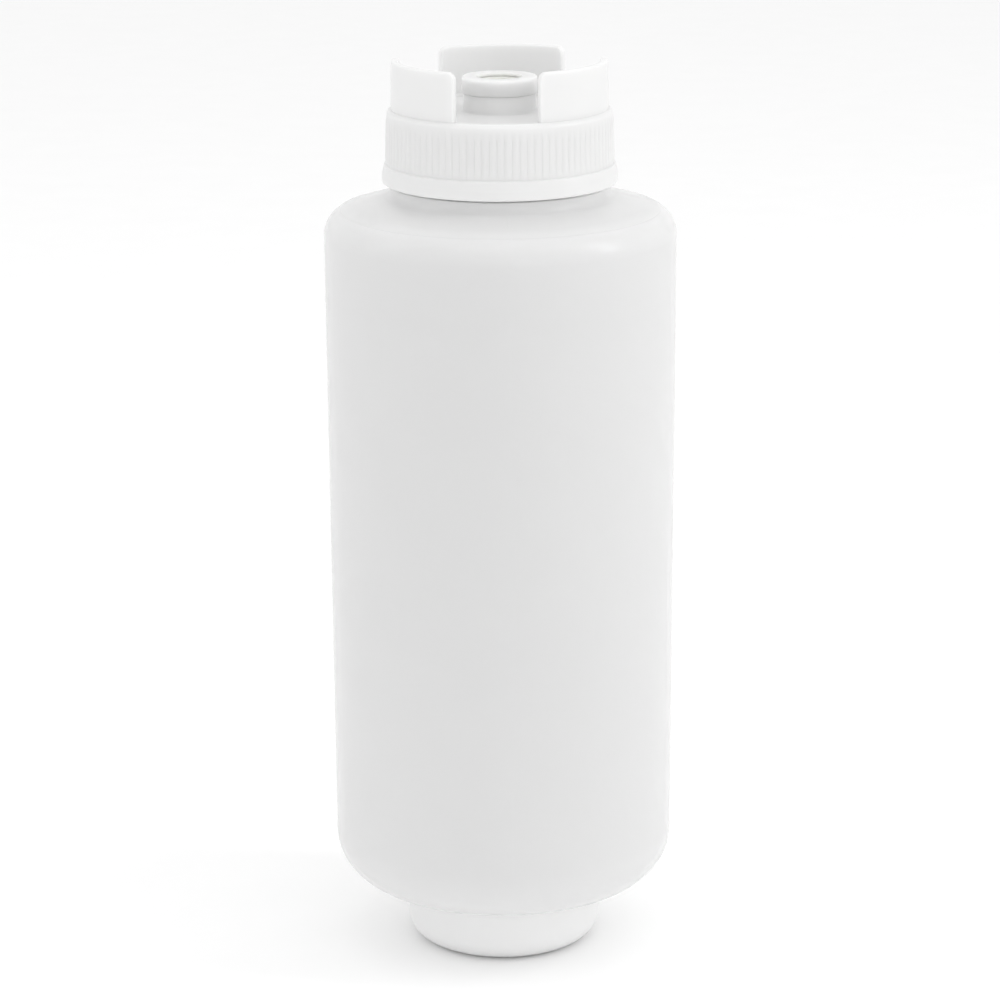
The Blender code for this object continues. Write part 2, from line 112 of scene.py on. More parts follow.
# Dispensing cap.
CAP_RIM_Z = CAP_HIGH[2] - 12.0 * MM
CAP_DECK_Z = CAP_RIM_Z - 0.7 * MM
CAP_CEILING_Z = CAP_DECK_Z - 1.8 * MM
CAP_BORE = 26.75 * MM
SKIRT_TOP = 27.9 * MM
SKIRT_LOW = 28.15 * MM
BOSS = 8.9 * MM
BOSS_TOP_Z = RING_LOW[2] - 0.02 * MM
SPIGOT = 7.9 * MM
SPIGOT_TOP_Z = RING_HIGH[2] - 2.1 * MM
BOSS_BORE = 5.2 * MM
LEG_COUNT = 3
LEG_INNER = 24.95 * MM
LEG_OUTER = 26.85 * MM
LEG_LEAN = 0.2 * MM
LEG_CORNER = 2.0 * MM
LEG_EDGE = 0.3 * MM
LEG_GAP_HALF = math.radians(23.0)
LEG_EDGE_ANGLES = (0, 25, 45, 65, 90)
LEG_CORNER_ANGLES = (45, 55, 65, 75, 90)
LEG_CUT = 0.03 * MM
LEG_BASE = 1.0 * MM
LEG_ROW = 1.6 * MM
DECK_ROW = 3.0 * MM
SKIRT_ROW = 1.0 * MM
CAP_THREAD_ROW = 0.45 * MM
RIB_COUNT = 96
RIB_COLUMNS = 5
RIB_DEPTH = 0.2 * MM
RIB_FADE = 0.5 * MM
RIB_FLOOR = 0.15
RIB_FLANK = 3.4
RIB_LOW_Z = CAP_LOW[2] + 5.0 * MM
RIB_TOP_Z = CAP_LOW[2] + 16.3 * MM

# Ring, valve and seals.
RING_MOUTH = 5.4 * MM
RING_BORE = 8.2 * MM
RING_CEILING_Z = VALVE_HIGH[2] + 0.04 * MM
VALVE_FLANGE = 7.6 * MM
VALVE_FLANGE_DEPTH = 0.8 * MM
VALVE_SLEEVE = 4.7 * MM
VALVE_CUP = 3.9 * MM
VALVE_DISH = 2.4 * MM
VALVE_COLUMNS = 120
VALVE_ROW = 0.8 * MM
VALVE_SLIT_ROW = 0.12 * MM
SLIT_HALF_WIDTH = 0.16 * MM
SLIT_DEPTH = 0.45 * MM
SLIT_REACH = 2.7 * MM
SLIT_FADE = 0.3 * MM
SLIT_OFFSETS = (-4, -2.5, -1.2, 0, 1.2, 2.5, 4)
GASKET_INNER = 22.6 * MM
SEAL_EDGE = 0.25 * MM
LINER_PRINT = 0.12 * MM
LINER_PRINT_INNER = 19.6 * MM
LINER_PRINT_OUTER = 19.9 * MM

# Refill cap: a cup whose floor is low under the opening and raised round it.
REFILL_BORE = 22.8 * MM
REFILL_FLOOR = 1.6 * MM
REFILL_LEDGE = 2.6 * MM
REFILL_LEDGE_INNER = 16.4 * MM
REFILL_FLOOR_EDGE = 16.0 * MM
REFILL_TAPER = 0.25 * MM
REFILL_EDGE = 5.6 * MM
REFILL_COLUMNS = 240
REFILL_ROW = 2.5 * MM

# How far an arc's chords may miss it, and the angles that one chord may span.
ARC_MISS = 0.008 * MM
FINEST_CHORD = math.radians(4.0)
COARSEST_CHORD = math.radians(18.0)

# The least angle, in radians, from an evenly spaced column to an added one.
LEAST_TURN = 0.0014

# Columns, and the most height or width of a row, in the pieces that are the same all round.
PLAIN_COLUMNS = 160
PLAIN_ROW = 2.0 * MM


# ---------------------------------------------------------------- profiles

def rounded(corners, closed=True):
    """Points along straight lines between corners (radius, height, rounding).

    Each corner is replaced by the arc of its rounding radius that touches both of its lines. A chord of
    angle t misses its arc by rounding * t^2 / 8, which sets t from the allowed miss.
    """
    count = len(corners)
    points = []
    for i, (radius, height, rounding) in enumerate(corners):
        corner = np.array([radius, height])
        if rounding == 0 or (not closed and i in (0, count - 1)):
            points.append(corner)
            continue
        back = np.array(corners[i - 1][:2]) - corner
        ahead = np.array(corners[(i + 1) % count][:2]) - corner
        back /= np.linalg.norm(back)
        ahead /= np.linalg.norm(ahead)
        half = math.acos(max(-1.0, min(1.0, float(back @ ahead)))) / 2
        reach = rounding / math.tan(half)
        middle = (back + ahead) / np.linalg.norm(back + ahead)
        centre = corner + middle * rounding / math.sin(half)
        start = corner + back * reach - centre
        end = corner + ahead * reach - centre
        sweep = math.atan2(start[0] * end[1] - start[1] * end[0], float(start @ end))
        chord = min(max(math.sqrt(8 * ARC_MISS / rounding), FINEST_CHORD), COARSEST_CHORD)
        steps = max(2, math.ceil(abs(sweep) / chord))
        for angle in np.linspace(0.0, sweep, steps + 1):
            turned = np.array([
                start[0] * math.cos(angle) - start[1] * math.sin(angle),
                start[0] * math.sin(angle) + start[1] * math.cos(angle),
            ])
            points.append(centre + turned)
    return np.array(points)


def filled(points, spacing, closed=True):
    """The same outline with points added, so that no step is longer than spacing(radius, height)."""
    out = []
    last = len(points) if closed else len(points) - 1
    for i in range(last):
        here, there = points[i], points[(i + 1) % len(points)]
        middle = (here + there) / 2
        gap = np.linalg.norm(there - here)
        parts = max(1, math.ceil(gap / spacing(middle[0], middle[1])))
        for part in range(parts):
            out.append(here + (there - here) * part / parts)
    if not closed:
        out.append(points[-1])
    return np.array(out)


# ---------------------------------------------------------------- meshes

def turned_piece(name, radius, height, theta, closed, sharp=30.0):
    """A closed mesh from radius and height arrays of shape (rows, columns) over the angles theta.

    Rows join round when closed is True; otherwise the first and last rows end in a point on the axis.
    Edges bent by more than sharp degrees stay crisp.
    """
    rows, columns = radius.shape
    x = radius * np.cos(theta)[None, :]
    y = radius * np.sin(theta)[None, :]
    verts = np.stack([x, y, height], axis=-1).reshape(-1, 3)
    row = np.arange(rows if closed else rows - 1)
    column = np.arange(columns)
    i, j = np.meshgrid(row, column, indexing="ij")
    below = (i + 1) % rows
    beside = (j + 1) % columns
    quads = np.stack(
        [i * columns + j, below * columns + j, below * columns + beside, i * columns + beside], axis=-1
    ).reshape(-1, 4)
    faces = quads.tolist()
    if not closed:
        top = len(verts)
        bottom = top + 1
        verts = np.vstack([verts, [[0, 0, height[0, 0]], [0, 0, height[-1, 0]]]])
        next_column = (column + 1) % columns
        last = (rows - 1) * columns
        faces += [[top, int(a), int(b)] for a, b in zip(column, next_column)]
        faces += [[bottom, int(last + b), int(last + a)] for a, b in zip(column, next_column)]
    mesh = bpy.data.meshes.new(name)
    mesh.from_pydata(verts.tolist(), [], faces)
    mesh.shade_smooth()
    mesh.set_sharp_from_angle(angle=math.radians(sharp))
    piece = bpy.data.objects.new(name, mesh)
    bpy.context.scene.collection.objects.link(piece)
    return piece


def ring_angles(count, extra=()):
    """Evenly spaced angles with extra ones put in; even ones too close to an extra one are left out."""
    even = np.arange(count) * TURN / count
    extra = np.sort(np.asarray(list(extra)) % TURN)
    if len(extra):
        apart = np.abs(even[:, None] - extra[None, :])
        apart = np.minimum(apart, TURN - apart).min(axis=1)
        even = even[apart > LEAST_TURN]
    return np.sort(np.concatenate([even, extra]))


def thread(height, theta, start_z, lead, turns):
    """How far a helical ridge stands out, from 0 to 1, at each height and angle.

    Its flanks are smooth steps between the root's and the crest's share of the lead, and it fades over the
    first and last part of a turn.
    """
    stand = np.zeros(height.shape)
    for lap in range(math.ceil(turns) + 1):
        along = theta / TURN + lap
        rise = np.clip(np.minimum(along, turns - along) / THREAD_FADE, 0.0, 1.0)[None, :]
        offset = np.abs(height - (start_z + lead * along)[None, :])
        slope = np.clip((THREAD_ROOT * lead - offset) / ((THREAD_ROOT - THREAD_CREST) * lead), 0.0, 1.0)
        slope = slope * slope * (3 - 2 * slope)
        stand = np.maximum(stand, slope * rise)
    return stand


# ---------------------------------------------------------------- materials

# Painted light: the bottle's colour is whiter at its heel, lifting the shade low on the body, and at its
# shoulder and neck, lifting the shade under the cap: (height, share of the pale painted-light colour).
PAINTED_LIGHT_STOPS = [(0.0, 1.0), (0.02, 1.0), (0.09, 0.0), (0.17, 0.0), (0.196, 1.0), (0.2283, 1.0)]
PAINTED_LIGHT_PALE = (0.995, 0.995, 0.992)


def node_material(name):
    """A new material with its Principled shader and the object's own coordinates."""
    material = bpy.data.materials.new(name)
    material.use_nodes = True
    tree = material.node_tree
    shader = tree.nodes["Principled BSDF"]
    place = tree.nodes.new("ShaderNodeTexCoord")
    return material, tree, shader, place.outputs["Object"]


def noise(tree, place, scale, detail=3.0, roughness=0.5):
    """A noise texture over the object's coordinates."""
    node = tree.nodes.new("ShaderNodeTexNoise")
    node.inputs["Scale"].default_value = scale
    node.inputs["Detail"].default_value = detail
    node.inputs["Roughness"].default_value = roughness
    tree.links.new(place, node.inputs["Vector"])
    return node.outputs["Fac"]


def between(tree, factor, low, high):
    """A value that goes from low to high as the factor goes from 0.3 to 0.7."""
    node = tree.nodes.new("ShaderNodeMapRange")
    node.inputs["From Min"].default_value = 0.3
    node.inputs["From Max"].default_value = 0.7
    node.inputs["To Min"].default_value = low
    node.inputs["To Max"].default_value = high
    tree.links.new(factor, node.inputs["Value"])
    return node.outputs["Result"]


def tint(tree, factor, colour_a, colour_b):
    """A colour that goes from one to the other as the factor goes from 0.3 to 0.7."""
    ramp = tree.nodes.new("ShaderNodeValToRGB")
    ramp.color_ramp.elements[0].position = 0.3
    ramp.color_ramp.elements[0].color = (*colour_a, 1.0)
    ramp.color_ramp.elements[1].position = 0.7
    ramp.color_ramp.elements[1].color = (*colour_b, 1.0)
    tree.links.new(factor, ramp.inputs["Fac"])
    return ramp.outputs["Color"]


def paint_light_by_height(tree, place, colour, pale, stops):
    """Painted light: the colour mixed with the pale one, by a share that runs straight between (height,
    share) stops.
    """
    split = tree.nodes.new("ShaderNodeSeparateXYZ")
    tree.links.new(place, split.inputs["Vector"])
    along = tree.nodes.new("ShaderNodeMapRange")
    along.inputs["From Max"].default_value = stops[-1][0]
    tree.links.new(split.outputs["Z"], along.inputs["Value"])
    ramp = tree.nodes.new("ShaderNodeValToRGB")
    marks = ramp.color_ramp.elements
    while len(marks) < len(stops):
        marks.new(0.5)
    for mark, (height, share) in zip(marks, stops):
        mark.position = height / stops[-1][0]
        mark.color = (share, share, share, 1.0)
    tree.links.new(along.outputs["Result"], ramp.inputs["Fac"])
    mix = tree.nodes.new("ShaderNodeMixRGB")
    mix.inputs["Color2"].default_value = (*pale, 1.0)
    tree.links.new(ramp.outputs["Color"], mix.inputs["Fac"])
    tree.links.new(colour, mix.inputs["Color1"])
    return mix.outputs["Color"]


def bumps(tree, shader, layers):
    """Surface relief from (factor, depth in metres) layers, one on the other."""
    normal = None
    for factor, depth in layers:
        node = tree.nodes.new("ShaderNodeBump")
        node.inputs["Strength"].default_value = 1.0
        node.inputs["Distance"].default_value = depth
        tree.links.new(factor, node.inputs["Height"])
        if normal is not None:
            tree.links.new(normal, node.inputs["Normal"])
        normal = node.outputs["Normal"]
    tree.links.new(normal, shader.inputs["Normal"])


def moulded(name, light, dark, roughness, scatter, depth, clear=0.0, grain=900.0, ends=()):
    """Moulded plastic: milky inside, with a faint uneven tone and a fine skin.

    light and dark are the tone's ends; roughness is a (low, high) pair; scatter is how much light goes in,
    depth how far, in metres, and clear how much goes straight through; grain is the skin's fineness; ends,
    when given, are (height, share) stops of painted light that whiten the colour.
    """
    material, tree, shader, place = node_material(name)
    tone = noise(tree, place, 22.0, 4.0, 0.55)
    skin = noise(tree, place, grain, 2.0, 0.5)
    waves = noise(tree, place, 60.0, 2.0, 0.4)
    colour = tint(tree, tone, dark, light)
    if ends:
        colour = paint_light_by_height(tree, place, colour, PAINTED_LIGHT_PALE, ends)
    tree.links.new(colour, shader.inputs["Base Color"])
    tree.links.new(between(tree, waves, *roughness), shader.inputs["Roughness"])
    bumps(tree, shader, [(waves, 0.04 * MM), (skin, 0.006 * MM)])
    shader.inputs["Subsurface Weight"].default_value = scatter
    shader.inputs["Subsurface Radius"].default_value = (1.0, 1.0, 1.0)
    shader.inputs["Subsurface Scale"].default_value = depth
    shader.inputs["Transmission Weight"].default_value = clear
    shader.inputs["IOR"].default_value = 1.5
    return material


# ---------------------------------------------------------------- the bottle

def shoulder_point(degrees):
    """A point (radius, height) on the shoulder's round edge, by its angle above the level."""
    angle = math.radians(degrees)
    across = SIDE_TOP - SHOULDER_ROUND + SHOULDER_ROUND * math.cos(angle)
    return across, SHOULDER_ROUND_Z + SHOULDER_ROUND * math.sin(angle)


def bottle_outline():
    """The bottle's wall in section: down the outside from rim to rim, then up the inside."""
    crease_r, crease_z = shoulder_point(CREASE_ANGLE)
    cone_z = crease_z + (crease_r - COLLAR) * SHOULDER_SLOPE
    shoulder = [(*shoulder_point(a), 0) for a in range(8 * SHOULDER_STEP, -1, -SHOULDER_STEP)]
    crease = [
        (crease_r - CREASE_WIDTH, crease_z + CREASE_WIDTH * SHOULDER_SLOPE, 0),
        (crease_r, crease_z - CREASE_DEPTH, 0),
    ]
    heel_z = FOOT_Z + (SIDE_LOW - FOOT) * HEEL_SLOPE
    top = BOTTLE_HIGH[2]
    low = BOTTLE_LOW[2]
    inner_neck = NECK - WALL
    inner_lower = LOWER_NECK - WALL
    lift = WALL / math.cos(math.atan(HEEL_SLOPE))
    drop = WALL / math.cos(math.atan(SHOULDER_SLOPE))
    outside = [
        (NECK, top, 0.45 * MM),
        (NECK, COLLAR_Z, 0.3 * MM),
        (COLLAR, COLLAR_Z, 0.35 * MM),
        (COLLAR, cone_z, 2.0 * MM),
        *crease,
        *shoulder,
        (SIDE_LOW, heel_z, HEEL_ROUND),
        (FOOT, FOOT_Z, 0.55 * MM),
        (LOWER_NECK, FOOT_Z - 0.05 * MM, 0.6 * MM),
        (LOWER_NECK, low, 0.4 * MM),
    ]
    inside = [
        (inner_lower, low, 0.4 * MM),
        (inner_lower, FOOT_Z + WALL + 0.2 * MM, 1.6 * MM),
        (FOOT - WALL, FOOT_Z + lift - 0.1 * MM, 2.0 * MM),
        (SIDE_LOW - WALL, heel_z + lift - WALL * HEEL_SLOPE, HEEL_ROUND - WALL),
        (SIDE_TOP - WALL, SHOULDER_CORNER_Z - drop + WALL * SHOULDER_SLOPE, SHOULDER_ROUND - WALL),
        (COLLAR - WALL, cone_z - drop + WALL * SHOULDER_SLOPE, 2.0 * MM),
        (COLLAR - WALL, COLLAR_Z - WALL, 0.8 * MM),
        (inner_neck, COLLAR_Z - WALL, 0.6 * MM),
        (inner_neck, top, 0.45 * MM),
    ]
    return outside, inside


def add_seam(points, theta, radius, height):
    """The bottle's radii with the moulding seam's two ridges on the outside of the body."""
    body = (height > SEAM_LOW_Z) & (height < SEAM_TOP_Z)
    is_outside = np.zeros(len(points), bool)
    is_outside[: int(np.argmin(np.abs(points[:, 1] - BOTTLE_LOW[2])))] = True
    near_top = np.clip((height - SEAM_FADE_Z) / SEAM_FADE, SEAM_LEAST, 1.0)
    for angle in (SEAM_ANGLE, SEAM_ANGLE + math.pi):
        away = (theta - angle + math.pi) % TURN - math.pi
        ridge = np.exp(-((away[None, :] * radius / SEAM_WIDTH) ** 2))
        radius = radius + np.where(body & is_outside[:, None], ridge * near_top * SEAM_HEIGHT, 0.0)
    return np.minimum(radius, SIDE_TOP)


def make_bottle():
    """Bottle: the section carried round, with threads on both necks and a faint moulding seam.

    radius = section radius + thread height * ridge + seam height * exp(-(arc from seam / width)^2).
    """
    outside, inside = bottle_outline()
    points = rounded(outside + inside)

    def spacing(radius, height):
        on_upper_neck = abs(radius - NECK) < 0.2 * MM and height > COLLAR_Z
        on_lower_neck = abs(radius - LOWER_NECK) < 0.2 * MM
        return NECK_ROW if on_upper_neck or on_lower_neck else BODY_ROW

    points = filled(points, spacing)
    seam_steps = np.array([-a for a in SEAM_OFFSETS] + [0.0, *SEAM_OFFSETS]) * MM / SIDE_TOP
    seams = np.concatenate([SEAM_ANGLE + seam_steps, SEAM_ANGLE + math.pi + seam_steps])
    theta = ring_angles(BOTTLE_COLUMNS, seams)
    radius = np.repeat(points[:, :1], len(theta), axis=1)
    height = np.repeat(points[:, 1:], len(theta), axis=1)

    on_neck = np.abs(radius - NECK) < 0.01 * MM
    ridge = thread(height, theta, UPPER_THREAD_Z, UPPER_LEAD, NECK_TURNS)
    radius = radius + np.where(on_neck, ridge * UPPER_THREAD_HEIGHT, 0.0)
    on_neck = np.abs(radius - LOWER_NECK) < 0.01 * MM
    ridge = thread(height, theta, LOWER_THREAD_Z, LOWER_LEAD, NECK_TURNS)
    radius = radius + np.where(on_neck, ridge * LOWER_THREAD_HEIGHT, 0.0)

    radius = add_seam(points, theta, radius, height)
    bottle = turned_piece("bottle_shell", radius, height, theta, closed=True)
    bottle.data.materials.append(POLYETHYLENE)
    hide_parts("bottle")
    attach(bottle, "bottle")


# ---------------------------------------------------------------- the dispensing cap

def gap_middles():
    """The angles of the gaps between the legs; the first faces the front."""
    return [-math.pi / 2 + TURN * i / LEG_COUNT for i in range(LEG_COUNT)]


def leg_columns():
    """Angles at the legs' ends: a close pair at each cut face, then steps round its edges and corner."""
    steps = [LEG_EDGE * (1 - math.cos(math.radians(a))) for a in LEG_EDGE_ANGLES]
    steps += [LEG_CORNER * (1 - math.cos(math.radians(a))) for a in LEG_CORNER_ANGLES]
    offsets = np.array([-LEG_CUT] + sorted(steps)) / LEG_OUTER
    angles = []
    for middle in gap_middles():
        angles += list(middle + LEG_GAP_HALF + offsets)
        angles += list(middle - LEG_GAP_HALF - offsets)
    return angles


def along_leg(theta):
    """Arc length from each angle to the nearest end of the leg it is in; negative in a gap."""
    away = np.full(theta.shape, np.inf)
    for middle in gap_middles():
        off = np.abs((theta - middle + math.pi) % TURN - math.pi)
        away = np.minimum(away, (off - LEG_GAP_HALF) * LEG_OUTER)
    return away


def cap_outline():
    """The dispensing cap's section in three parts: boss and deck, a leg, then skirt, bead and inside."""
    top = CAP_HIGH[2]
    low = CAP_LOW[2]
    bead = CAP_HIGH[0]
    join_z = SPIGOT_TOP_Z - 1.0 * MM
    inner_part = rounded([
        (BOSS_BORE, join_z, 0),
        (BOSS_BORE, SPIGOT_TOP_Z, 0.25 * MM),
        (SPIGOT, SPIGOT_TOP_Z, 0.3 * MM),
        (SPIGOT, BOSS_TOP_Z, 0.15 * MM),
        (BOSS, BOSS_TOP_Z, 0.3 * MM),
        (BOSS, CAP_DECK_Z, 0.6 * MM),
        (LEG_INNER - 0.9 * MM, CAP_DECK_Z, 0.8 * MM),
        (LEG_INNER - 0.25 * MM, CAP_RIM_Z - 0.05 * MM, 0.1 * MM),
        (LEG_INNER, CAP_RIM_Z, 0),
    ], closed=False)
    leg_part = rounded([
        (LEG_INNER, CAP_RIM_Z, 0),
        (LEG_INNER - LEG_LEAN, top, 0.45 * MM),
        (LEG_OUTER - LEG_LEAN, top, 0.45 * MM),
        (LEG_OUTER, CAP_RIM_Z, 0),
    ], closed=False)
    outer_part = rounded([
        (LEG_OUTER, CAP_RIM_Z, 0),
        (LEG_OUTER + 0.15 * MM, CAP_RIM_Z, 0.1 * MM),
        (SKIRT_TOP - 0.05 * MM, CAP_RIM_Z - 0.75 * MM, 1.2 * MM),
        (SKIRT_LOW, RIB_LOW_Z, 0.4 * MM),
        (bead - 0.55 * MM, RIB_LOW_Z - 0.35 * MM, 0.4 * MM),
        (bead, low + 2.4 * MM, 1.6 * MM),
        (bead, low + 0.2 * MM, 0.8 * MM),
        (bead - 1.0 * MM, low, 0.4 * MM),
        (CAP_BORE + 0.5 * MM, low, 0.3 * MM),
        (CAP_BORE, low + 0.8 * MM, 0.5 * MM),
        (CAP_BORE, CAP_CEILING_Z, 0.5 * MM),
        (BOSS_BORE, CAP_CEILING_Z, 0.3 * MM),
        (BOSS_BORE, join_z, 0),
    ], closed=False)

    def spacing(radius, height):
        if abs(radius - CAP_BORE) < 0.05 * MM and height < CAP_CEILING_Z:
            return CAP_THREAD_ROW
        if radius > SKIRT_TOP - 0.3 * MM and height < CAP_RIM_Z:
            return SKIRT_ROW
        return DECK_ROW

    inner_part = filled(inner_part, spacing, closed=False)
    leg_part = filled(leg_part, lambda radius, height: LEG_ROW, closed=False)
    outer_part = filled(outer_part, spacing, closed=False)
    return inner_part, leg_part, outer_part


def leg_surface(leg_part, theta):
    """Radii and heights of the legs' rows.

    In a leg each column's outline is the leg's section, drawn in near its cut faces and lowered round its
    top corners by a quarter circle; in a gap the same rows lie flat on the rim.
    """
    away = along_leg(theta)
    inset = np.clip(away, 0.0, LEG_CORNER)
    full = CAP_HIGH[2] - CAP_RIM_Z
    crown = full - LEG_CORNER + np.sqrt(np.maximum(LEG_CORNER**2 - (LEG_CORNER - inset) ** 2, 0.0))
    edge = np.clip(away, 0.0, LEG_EDGE)
    drawn = LEG_EDGE - np.sqrt(np.maximum(LEG_EDGE**2 - (LEG_EDGE - edge) ** 2, 0.0))
    middle = (LEG_INNER + LEG_OUTER) / 2
    half = (LEG_OUTER - LEG_INNER) / 2
    leg_r = leg_part[:, :1]
    leg_z = leg_part[:, 1:]
    up = np.clip((leg_z - CAP_RIM_Z) / LEG_BASE, 0.0, 1.0)
    in_leg_r = middle + (leg_r - middle) * (1.0 - up * (drawn / half)[None, :])
    in_leg_z = CAP_RIM_Z + (leg_z - CAP_RIM_Z) * (crown / full)[None, :]
    share = np.linspace(0.0, 1.0, len(leg_part))[:, None]
    flat_r = LEG_INNER + (LEG_OUTER - LEG_INNER) * share
    is_leg = (away >= 0.0)[None, :]
    return np.where(is_leg, in_leg_r, flat_r), np.where(is_leg, in_leg_z, CAP_RIM_Z)


def add_ribs(theta, radius, height):
    """The cap's radii with the skirt's ribs, which fade out at their ends.

    Over one rib the height is floor + flank * (distance from the groove's middle), held between 0 and 1.
    """
    phase = (theta * RIB_COUNT / TURN) % 1.0
    rib = np.clip(RIB_FLOOR + RIB_FLANK * (0.5 - np.abs(phase - 0.5)), 0.0, 1.0)[None, :]
    ends = np.clip(np.minimum(height - RIB_LOW_Z, RIB_TOP_Z - height) / RIB_FADE, 0.0, 1.0)
    on_skirt = (radius > SKIRT_TOP - 0.4 * MM) & (height < CAP_RIM_Z - 0.5 * MM)
    return radius + np.where(on_skirt, rib * ends * RIB_DEPTH, 0.0)


def make_dispensing_cap():
    """Dispensing cap: boss, deck, legs, ribbed skirt with its bead, and threaded inside, in one surface."""
    inner_part, leg_part, outer_part = cap_outline()
    theta = ring_angles(RIB_COUNT * RIB_COLUMNS, leg_columns())
    points = np.vstack([inner_part[:-1], leg_part, outer_part[1:-1]])
    first = len(inner_part) - 1
    last = first + len(leg_part)
    radius = np.repeat(points[:, :1], len(theta), axis=1)
    height = np.repeat(points[:, 1:], len(theta), axis=1)
    radius[first:last], height[first:last] = leg_surface(leg_part, theta)
    radius = add_ribs(theta, radius, height)

    inside = np.abs(radius - CAP_BORE) < 0.02 * MM
    ridge = thread(height, theta, UPPER_THREAD_Z - UPPER_LEAD / 2, UPPER_LEAD, CAP_TURNS)
    radius = radius - np.where(inside, ridge * UPPER_THREAD_HEIGHT, 0.0)

    cap = turned_piece("ribbed_dispensing_cap", radius, height, theta, closed=True, sharp=38.0)
    cap.data.materials.append(WHITE_CAP)
    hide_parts("dispensing_cap")
    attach(cap, "dispensing_closure")


# ---------------------------------------------------------------- ring, valve and seals

def plain_turned(name, corners, material, closed=True):
    """A piece that is the same all round: rounded corners carried round the axis.

    An open outline starts and ends on the axis, where turned_piece puts its own end points.
    """
    points = rounded(corners, closed=closed)
    points = filled(points, lambda radius, height: PLAIN_ROW, closed=closed)
    if not closed:
        points = points[1:-1]
    theta = ring_angles(PLAIN_COLUMNS)
    radius = np.repeat(points[:, :1], len(theta), axis=1)
    height = np.repeat(points[:, 1:], len(theta), axis=1)
    piece = turned_piece(name, radius, height, theta, closed=closed)
    piece.data.materials.append(material)
    return piece


def make_retaining_ring():
    """Retaining ring: a short collar with a rounded mouth over the valve."""
    low, top = RING_LOW[2], RING_HIGH[2]
    outer = RING_HIGH[0]
    ring = plain_turned("retaining_ring", [
        (RING_MOUTH + 0.1 * MM, top, 0.45 * MM),
        (outer, top, 0.55 * MM),
        (outer - 0.1 * MM, low, 0.15 * MM),
        (RING_BORE, low, 0.15 * MM),
        (RING_BORE, RING_CEILING_Z, 0.15 * MM),
        (RING_MOUTH, RING_CEILING_Z, 0.15 * MM),
    ], RING_WHITE_WITH_PAINTED_LIGHT)
    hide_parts("valve_retaining_ring")
    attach(ring, "retaining_ring")


def make_valve():
    """Valve: flange, sleeve and dished centre, with a crossed slit pressed through the dish.

    The slit is a groove whose depth falls off from its middle line as 1 - (distance / half width)^2.
    """
    low, top = VALVE_LOW[2], VALVE_HIGH[2]
    corners = [
        (0.0, low + 0.8 * MM, 0),
        (VALVE_DISH, low + 1.0 * MM, 2.0 * MM),
        (VALVE_CUP, low + 2.2 * MM, 0.8 * MM),
        (VALVE_CUP, top, 0.35 * MM),
        (VALVE_FLANGE, top, 0.2 * MM),
        (VALVE_FLANGE, top - VALVE_FLANGE_DEPTH, 0.2 * MM),
        (VALVE_SLEEVE, top - VALVE_FLANGE_DEPTH, 0.2 * MM),
        (VALVE_SLEEVE, low + 1.3 * MM, 0.8 * MM),
        (VALVE_DISH, low + 0.2 * MM, 2.0 * MM),
        (0.0, low, 0),
    ]

    def spacing(radius, height):
        return VALVE_SLIT_ROW if radius < SLIT_REACH + 0.5 * MM else VALVE_ROW

    points = filled(rounded(corners, closed=False), spacing, closed=False)[1:-1]
    slit_columns = [TURN * k / 4 + math.radians(a) for k in range(4) for a in SLIT_OFFSETS]
    theta = ring_angles(VALVE_COLUMNS, slit_columns)
    radius = np.repeat(points[:, :1], len(theta), axis=1)
    height = np.repeat(points[:, 1:], len(theta), axis=1)
    off = np.minimum(np.abs(radius * np.cos(theta)), np.abs(radius * np.sin(theta)))
    groove = np.clip(1.0 - (off / SLIT_HALF_WIDTH) ** 2, 0.0, 1.0)
    reach = np.clip((SLIT_REACH - radius) / SLIT_FADE, 0.0, 1.0)
    upper = np.arange(len(points))[:, None] < len(points) / 2
    height = height - np.where(upper, groove * reach * SLIT_DEPTH, 0.0)
    valve = turned_piece("slit_valve", radius, height, theta, closed=False)
    valve.data.materials.append(SILICONE_WITH_PAINTED_LIGHT)
    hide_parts("valve")
    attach(valve, "slit_valve")


def make_gasket():
    """Gasket: a flat ring with softened edges under the dispensing cap's ceiling."""
    low, top = GASKET_LOW[2], GASKET_HIGH[2]
    outer = GASKET_HIGH[0]
    gasket = plain_turned("cap_gasket", [
        (GASKET_INNER, top, SEAL_EDGE),
        (outer, top, SEAL_EDGE),
        (outer, low, SEAL_EDGE),
        (GASKET_INNER, low, SEAL_EDGE),
    ], SEAL_FOAM)
    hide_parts("dispensing_cap_gasket")
    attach(gasket, "upper_seal")


def make_liner():
    """Liner: a soft disc with the lower rim's print pressed round it, over the refill cap's floor."""
    low, top = LINER_LOW[2], LINER_HIGH[2]
    outer = LINER_HIGH[0]
    liner = plain_turned("refill_liner", [
        (0.0, top, 0),
        (LINER_PRINT_INNER, top, 0.2 * MM),
        (LINER_PRINT_OUTER, top - LINER_PRINT, 0.1 * MM),
        (outer, top - LINER_PRINT, SEAL_EDGE),
        (outer, low, SEAL_EDGE),
        (0.0, low, 0),
    ], SEAL_FOAM, closed=False)
    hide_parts("refill_cap_liner")
    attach(liner, "lower_seal")


# ---------------------------------------------------------------- the refill cap

